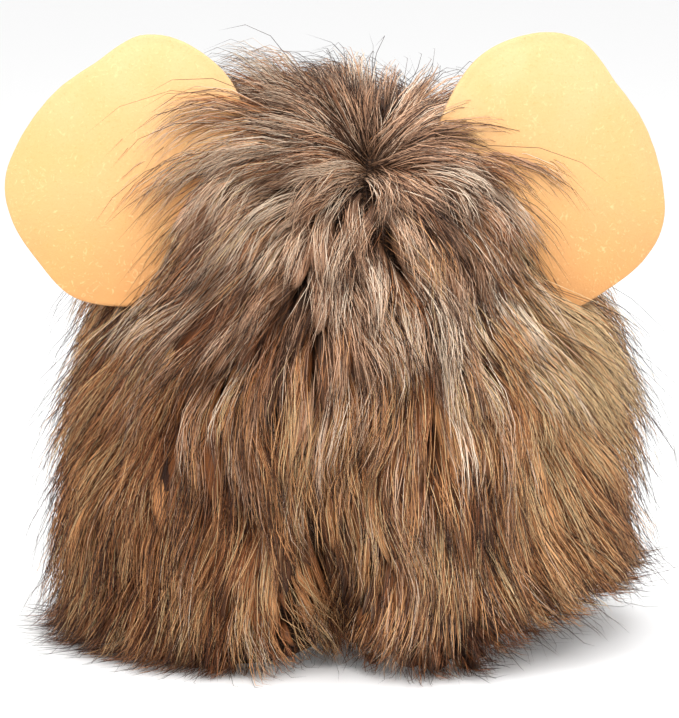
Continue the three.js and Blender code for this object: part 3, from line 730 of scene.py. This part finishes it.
class Shade:
    """A node-based material under construction."""

    def __init__(self, name, **fixed):
        self.material = bpy.data.materials.new(name)
        self.material.use_nodes = True
        self.tree = self.material.node_tree
        self.shader = next(n for n in self.tree.nodes if n.type == "BSDF_PRINCIPLED")
        for socket, value in fixed.items():
            self.shader.inputs[socket.replace("_", " ")].default_value = value

    def node(self, kind, inputs=None, **settings):
        """A node, with its settings and with each input linked or set."""
        made = self.tree.nodes.new(kind)
        for key, value in settings.items():
            setattr(made, key, value)
        for key, value in (inputs or {}).items():
            if isinstance(value, bpy.types.NodeSocket):
                self.tree.links.new(value, made.inputs[key])
            else:
                made.inputs[key].default_value = value
        return made

    def object_place(self):
        """The place on the object."""
        return self.node("ShaderNodeTexCoord").outputs["Object"]

    def noise(self, place, scale, detail, **more):
        """A noise pattern."""
        inputs = {"Vector": place, "Scale": scale, "Detail": detail, **more}
        return self.node("ShaderNodeTexNoise", inputs).outputs[0]

    def ramp(self, value, stops):
        """The colour at a value between stops of place and colour."""
        made = self.node("ShaderNodeValToRGB", {"Fac": value})
        elements = made.color_ramp.elements
        while len(elements) < len(stops):
            elements.new(0.5)
        for element, (place, colour) in zip(elements, stops):
            element.position = place
            element.color = colour
        return made.outputs["Color"]

    def mix(self, share, first, second, blend="MIX"):
        """Two colours mixed by a share of the second."""
        made = self.node("ShaderNodeMix", data_type="RGBA", blend_type=blend)
        for socket, value in ((made.inputs[0], share), (made.inputs[6], first), (made.inputs[7], second)):
            if isinstance(value, bpy.types.NodeSocket):
                self.tree.links.new(value, socket)
            else:
                socket.default_value = value
        return made.outputs[2]

    def range(self, value, low, high, to_low=0.0, to_high=1.0):
        """A value between low and high, eased to one between to_low and to_high."""
        made = self.node("ShaderNodeMapRange", {0: value, 1: low, 2: high, 3: to_low, 4: to_high},
                         interpolation_type="SMOOTHSTEP")
        return made.outputs[0]

    def bump(self, height, strength, distance):
        """Puts a bump under the finish."""
        made = self.node("ShaderNodeBump", {"Height": height, "Strength": strength, "Distance": distance})
        self.tree.links.new(made.outputs["Normal"], self.shader.inputs["Normal"])

    def colour(self, socket):
        """Puts in the base colour and gives back the finished material."""
        self.tree.links.new(socket, self.shader.inputs["Base Color"])
        return self.material


def fur_material():
    """The map holds family and tone across and the place along the hair upwards. Three ramps over it give the
    colours of root, middle and tip, two ranges along the hair mix them, and fine streaks across each column
    split the locks into hairs, with painted shade between the hairs and a painted highlight along them."""
    shade = Shade("fur_pile", Roughness=0.48, Specular_IOR_Level=0.35)
    uv = shade.node("ShaderNodeUVMap", uv_map="OFBake").outputs[0]
    parts = shade.node("ShaderNodeSeparateXYZ", {0: uv}).outputs
    ends = {}
    for key in ("root", "middle", "tip"):
        stops = [((f + 0.01 + 0.98 * i / (len(family) - 1)) / len(FAMILIES), display(tint[key]))
                 for f, family in enumerate(FAMILIES) for i, tint in enumerate(family)]
        ends[key] = shade.ramp(parts[0], stops)
    colour = shade.mix(shade.range(parts[1], 0.05, 0.5), ends["root"], ends["middle"])
    colour = shade.mix(shade.range(parts[1], 0.64, 0.98), colour, ends["tip"])
    across = 18.0 * TONES * len(FAMILIES)
    stretched = shade.node("ShaderNodeMapping", {"Vector": uv, "Scale": (across, 3.0, 1.0)}).outputs[0]
    streak = shade.noise(stretched, 1.0, 1.0)
    # painted shade between the hairs of the streaks, and a painted highlight along them
    shadow = shade.range(streak, 0.35, 0.5, 0.75, 0.0)
    colour = shade.mix(shadow, colour, display((40, 22, 12)))
    gleam = shade.range(streak, 0.56, 0.7, 0.0, 0.45)
    colour = shade.mix(gleam, colour, display((250, 222, 190)), "SOFT_LIGHT")
    shade.bump(streak, 0.6, 0.0006)
    return shade.colour(colour)


def felt_material():
    """Brushed felt: pale orange with a soft mottle and flecks of fibre, over a fine fibre bump, with painted
    shade darkening it towards the bottom of the ears and painted light paling it towards their tops.
    """
    shade = Shade("ear_felt", Roughness=0.95, Specular_IOR_Level=0.15, Sheen_Weight=0.35, Sheen_Roughness=0.6)
    shade.shader.inputs["Sheen Tint"].default_value = display((255, 226, 178))
    place = shade.object_place()
    cloud = shade.noise(place, 38.0, 3.0)
    grain = shade.noise(place, 720.0, 4.0, Roughness=0.65)
    fibre = shade.noise(place, 260.0, 5.0, Distortion=2.2)
    # the object's height, for painted shade low on the ears, where the fur shades them, and painted light
    # towards their tops, as if lit from above
    height = shade.node("ShaderNodeSeparateXYZ", {0: place}).outputs[2]
    colour = shade.mix(shade.range(height, 0.175, 0.245), display((206, 148, 94)), display((222, 172, 118)))
    colour = shade.mix(shade.range(height, 0.24, 0.30), colour, display((224, 186, 136)))
    colour = shade.mix(shade.range(cloud, 0.3, 0.75, 0.0, 0.35), colour, display((224, 168, 104)))
    colour = shade.mix(shade.range(grain, 0.52, 0.75, 0.0, 0.35), colour, display((214, 150, 82)))
    colour = shade.mix(shade.range(fibre, 0.58, 0.72, 0.0, 0.4), colour, display((248, 212, 156)))
    nap = shade.node("ShaderNodeMath", {0: grain, 1: fibre}, operation="ADD").outputs[0]
    shade.bump(nap, 0.55, 0.0007)
    return shade.colour(colour)


def backing_material():
    """Knitted cloth: rows of stitches as two crossed waves over the hood, with darker ground between
    them."""
    shade = Shade("knit_backing", Roughness=0.9, Specular_IOR_Level=0.2)
    place = shade.object_place()
    rows = shade.node("ShaderNodeTexWave",
                      {"Vector": place, "Scale": 160.0, "Distortion": 1.2, "Detail": 1.0},
                      wave_type="BANDS", bands_direction="Z").outputs[1]
    wales = shade.node("ShaderNodeTexWave", {"Vector": place, "Scale": 120.0, "Distortion": 0.8},
                       wave_type="BANDS", bands_direction="X").outputs[1]
    stitch = shade.node("ShaderNodeMath", {0: rows, 1: wales}, operation="MULTIPLY").outputs[0]
    colour = shade.mix(shade.range(stitch, 0.05, 0.6), display((38, 24, 16)), display((84, 58, 40)))
    shade.bump(stitch, 0.5, 0.0006)
    return shade.colour(colour)


def tape_material():
    """Hook-and-loop tape: dark brown loops, as a dense cell pattern with a bump."""
    shade = Shade("loop_tape", Roughness=0.85, Specular_IOR_Level=0.2)
    place = shade.object_place()
    loops = shade.node("ShaderNodeTexVoronoi", {"Vector": place, "Scale": 900.0}).outputs[0]
    colour = shade.mix(shade.range(loops, 0.1, 0.7), display((60, 44, 34)), display((24, 17, 13)))
    shade.bump(loops, 0.6, 0.0008)
    return shade.colour(colour)


def camera():
    """Level with the photograph's: 9 degrees above the horizon, 2 m away, 366 mm of height in the frame."""
    distance, shown, sensor = 2.0, 0.3663, 36
    aim = AXIS + np.array([-0.0028, 0.0, VIEW_Z])
    elevation = math.radians(9)
    data = bpy.data.cameras.new("camera")
    data.sensor_width = sensor
    data.lens = sensor * distance / shown
    ob = bpy.data.objects.new("camera", data)
    ob.location = aim + distance * np.array([0, -math.cos(elevation), math.sin(elevation)])
    ob.rotation_euler = (math.pi / 2 - elevation, 0, 0)
    bpy.context.scene.collection.objects.link(ob)
    bpy.context.scene.camera = ob


def lamp(name, place, size, energy):
    """A square area lamp that faces the middle of the object."""
    data = bpy.data.lights.new(name, "AREA")
    data.size = size
    data.energy = energy
    ob = bpy.data.objects.new(name, data)
    ob.location = place
    way = np.array([0.0, 0.0, VIEW_Z]) - np.array(place)
    ob.rotation_euler = (math.atan2(math.hypot(way[0], way[1]), -way[2]), 0, math.atan2(-way[0], way[1]))
    bpy.context.scene.collection.objects.link(ob)


def stage():
    """A wide pale floor, a pale surrounding and three soft lamps."""
    reach = 6.0
    corners = reach * np.array([[-1, -1, 0], [1, -1, 0], [1, 1, 0], [-1, 1, 0]])
    floor = mesh_piece("floor", corners, np.array([[0, 1, 2, 3]]), NO_TRIS, smooth_faces=False)
    shade = Shade("floor", Roughness=0.9, Specular_IOR_Level=0.1)
    shade.shader.inputs["Base Color"].default_value = display((250, 250, 250))
    floor.data.materials.append(shade.material)
    world = bpy.data.worlds.new("surrounding")
    world.use_nodes = True
    world.node_tree.nodes["Background"].inputs["Color"].default_value = (1.0, 1.0, 1.0, 1.0)
    world.node_tree.nodes["Background"].inputs["Strength"].default_value = 0.98
    bpy.context.scene.world = world
    lamp("key", (0.4, -1.6, 1.5), 1.0, 24)
    lamp("fill", (-1.3, -1.0, 0.9), 1.2, 9)
    lamp("top", (0.0, 0.1, 1.9), 1.4, 14)
    bpy.context.scene.view_settings.view_transform = "Standard"


def dress(piece, material, slot, *nodes):
    """Gives a piece its material and body, and hides the parts that it stands for, named in nodes; slot is
    not used.
    """
    piece.data.materials.append(material)
    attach(piece, "root")
    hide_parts(*nodes)


def split_round(p, parts):
    """The numbers of points in equal parts round the hood, from the middle of the back by the right side."""
    return np.array_split(np.argsort(np.arctan2(p[:, 0], -p[:, 1]) % (2 * math.pi)), parts)


def panel(name):
    """The half of the hood that a piece of fur belongs to."""
    return "fur_panel_left" if "left" in name else "fur_panel_right"


camera()
stage()

coat = clumps()
lock_points, lock_up, lock_width, lock_tone, lock_family = locks(coat)
points, width, tone, family = hairs(coat)
fur = fur_material()

for name, part in zip(SECTORS, split_round(points[:, 0], len(SECTORS))):
    dress(hair_piece(name, points[part], width[part], tone[part], family[part]), fur, "fur", panel(name))
for name, part in zip(("fur_locks_right", "fur_locks_left"), split_round(lock_points[:, 0], 2)):
    piece = lock_piece(name, lock_points[part], lock_up[part], lock_width[part], lock_tone[part],
                       lock_family[part])
    dress(piece, fur, "fur", panel(name))

dress(backing(), backing_material(), "fur", "fur_panel_left", "fur_panel_right")

felt = felt_material()
for which in ("left", "right"):
    for face, side in (("back", -1), ("face", 1)):
        piece = ear_piece(which, face, side)
        dress(piece, felt, "felt", f"ear_{which}_{face}")

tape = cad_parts["chin_tape"]
tape.data.materials.clear()
tape.data.materials.append(tape_material())
